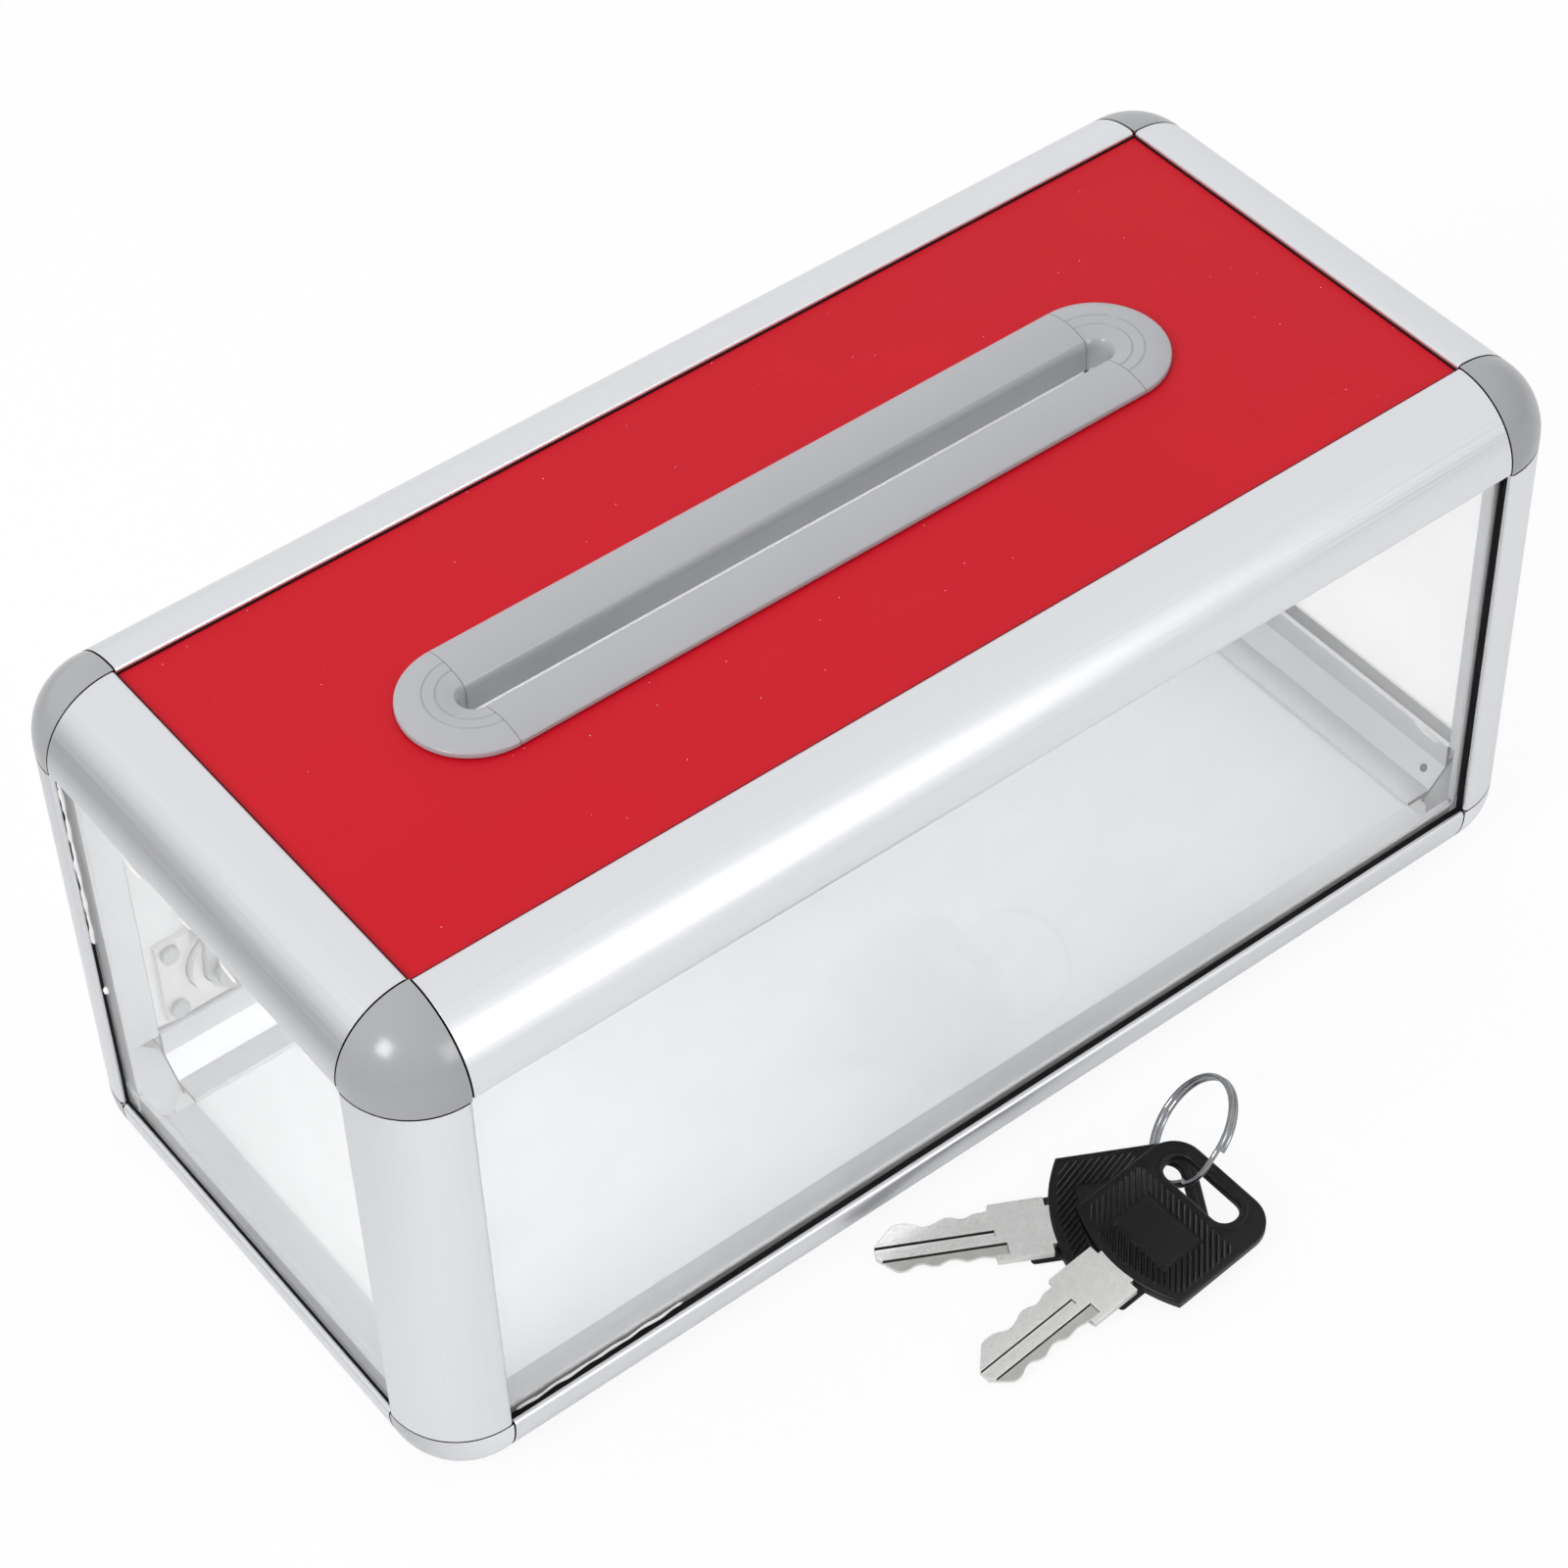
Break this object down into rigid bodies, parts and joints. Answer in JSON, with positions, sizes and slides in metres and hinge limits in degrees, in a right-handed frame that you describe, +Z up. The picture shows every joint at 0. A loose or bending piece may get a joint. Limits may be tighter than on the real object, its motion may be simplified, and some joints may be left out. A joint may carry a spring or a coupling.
{
  "type": "locking card box",
  "caption": "Card box with a rounded aluminium edge frame, clear panes, a red top with a long card slot, a hinged rear door with a cam lock, and keys on a ring.",
  "frame": {"origin": "on the table, under the middle of the footprint of the box and the keys lying in front of it", "axes": "+X along the box's length to the right as seen from the front, +Y from the front to the rear door, +Z up"},
  "size_m": [0.25, 0.1616, 0.1177],
  "materials": {
    "anodised_aluminium": "satin anodised, drawn lengthwise",
    "corner_abs": "moulded, semi-gloss",
    "clear_acrylic": "clear, polished",
    "trim_abs": "moulded, satin",
    "red_sheet": "satin sheet",
    "pale_sheet": "satin sheet",
    "steel": "zinc plated",
    "nickel_plate": "nickel plated, satin",
    "black_abs": "moulded, fine texture"
  },
  "bodies": {
    "box": {"bottom_front_bar": "anodised_aluminium", "bottom_rear_bar": "anodised_aluminium", "bottom_left_bar": "anodised_aluminium", "bottom_right_bar": "anodised_aluminium", "top_front_bar": "anodised_aluminium", "top_rear_bar": "anodised_aluminium", "top_left_bar": "anodised_aluminium", "top_right_bar": "anodised_aluminium", "front_left_post": "anodised_aluminium", "front_right_post": "anodised_aluminium", "rear_left_post": "anodised_aluminium", "rear_right_post": "anodised_aluminium", "corner_cap_bottom_front_left": "corner_abs", "corner_cap_bottom_front_right": "corner_abs", "corner_cap_bottom_rear_left": "corner_abs", "corner_cap_bottom_rear_right": "corner_abs", "corner_cap_top_front_left": "corner_abs", "corner_cap_top_front_right": "corner_abs", "corner_cap_top_rear_left": "corner_abs", "corner_cap_top_rear_right": "corner_abs", "front_pane": "clear_acrylic", "left_pane": "clear_acrylic", "right_pane": "clear_acrylic", "top_panel": "red_sheet", "floor_panel": "pale_sheet", "slot_rail_front": "trim_abs", "slot_rail_rear": "trim_abs", "slot_end_left": "trim_abs", "slot_end_right": "trim_abs", "hinge_lower_frame_leaf": "steel", "hinge_upper_frame_leaf": "steel", "hinge_lower_pin": "steel", "hinge_upper_pin": "steel", "hinge_lower_frame_rivet_low": "steel", "hinge_lower_frame_rivet_high": "steel", "hinge_upper_frame_rivet_low": "steel", "hinge_upper_frame_rivet_high": "steel"},
    "door": {"rear_door": "pale_sheet", "hinge_lower_door_leaf": "steel", "hinge_upper_door_leaf": "steel", "hinge_lower_door_rivet_low": "steel", "hinge_lower_door_rivet_high": "steel", "hinge_upper_door_rivet_low": "steel", "hinge_upper_door_rivet_high": "steel", "lock_body": "nickel_plate", "lock_plate": "nickel_plate", "lock_screw_1": "steel", "lock_screw_2": "steel", "lock_screw_3": "steel", "lock_screw_4": "steel"},
    "lock_core": {"lock_plug": "nickel_plate", "lock_cam": "steel", "lock_cam_screw": "steel"},
    "key_ring": {"split_ring": "steel"},
    "key_upper": {"key_upper_head": "black_abs", "key_upper_blade": "nickel_plate"},
    "key_lower": {"key_lower_head": "black_abs", "key_lower_blade": "nickel_plate"}
  },
  "joints": [
    {"name": "door_hinge", "type": "hinge", "parent": "box", "child": "door", "pos_m": [0.1074, 0.07905, 0.058], "axis": [0, 0, -1], "range_deg": [0, 110]},
    {"name": "lock_turn", "type": "hinge", "parent": "door", "child": "lock_core", "pos_m": [-0.0947, 0.07675, 0.027], "axis": [0, -1, 0], "range_deg": [0, 90]},
    {"name": "ring_lift", "type": "slide", "parent": "box", "child": "key_ring", "axis": [0, 0, 1], "range_m": [0, 0.1]},
    {"name": "key_upper_swing", "type": "hinge", "parent": "key_ring", "child": "key_upper", "pos_m": [0.01524, -0.06189, 0.00603], "axis": [-0.0597, -0.0697, 0.9958], "range_deg": [0, 35]},
    {"name": "key_lower_swing", "type": "hinge", "parent": "key_ring", "child": "key_lower", "pos_m": [0.01505, -0.05848, 0.00335], "axis": [-0.0597, -0.0697, 0.9958], "range_deg": [0, 15]}
  ]
}
